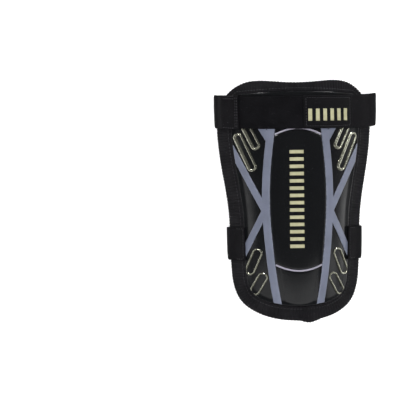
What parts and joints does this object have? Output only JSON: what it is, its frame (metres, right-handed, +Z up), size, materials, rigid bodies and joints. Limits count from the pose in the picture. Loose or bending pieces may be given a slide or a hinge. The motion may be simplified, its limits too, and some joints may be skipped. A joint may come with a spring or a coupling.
{
  "type": "shin guard",
  "caption": "Curved shin guard: hard shell with raised stripes and rims over a foam back, ribbed edge tape, and elastic calf straps with a hook tab.",
  "frame": {"origin": "middle of the base of the whole box; the guard lies on its straps with the shell up", "axes": "+X across the leg, to the side of the strap's tab; +Y along the leg to the knee end; +Z up, out of the shell's front"},
  "size_m": [0.1498, 0.2146, 0.0494],
  "materials": {
    "foam": "black knitted cloth laminated on soft foam",
    "tape": "black ribbed edge tape, matt",
    "shell": "black moulded shell, glossy",
    "stripe": "lilac grey raised stripes, satin",
    "rim": "khaki gold raised rims, satin",
    "elastic": "black woven elastic, ribbed",
    "loop_cloth": "black brushed loop cloth",
    "tab_cloth": "black tab cloth with a plain printed row of khaki dashes"
  },
  "bodies": {
    "root": {"backing_foam": "foam", "edge_binding": "tape", "hard_shell": "shell", "stripe_left": "stripe", "rim_left_top_outer": "rim", "rim_left_top_inner": "rim", "rim_left_low_upper": "rim", "rim_left_low_lower": "rim", "stripe_right": "stripe", "rim_right_top_outer": "rim", "rim_right_top_inner": "rim", "rim_right_low_upper": "rim", "rim_right_low_lower": "rim", "panel_line_top": "stripe", "panel_line_bottom": "stripe", "upper_strap_elastic": "elastic", "upper_strap_loop_panel": "loop_cloth", "upper_strap_tab": "tab_cloth", "lower_strap_elastic": "elastic"}
  },
  "joints": []
}
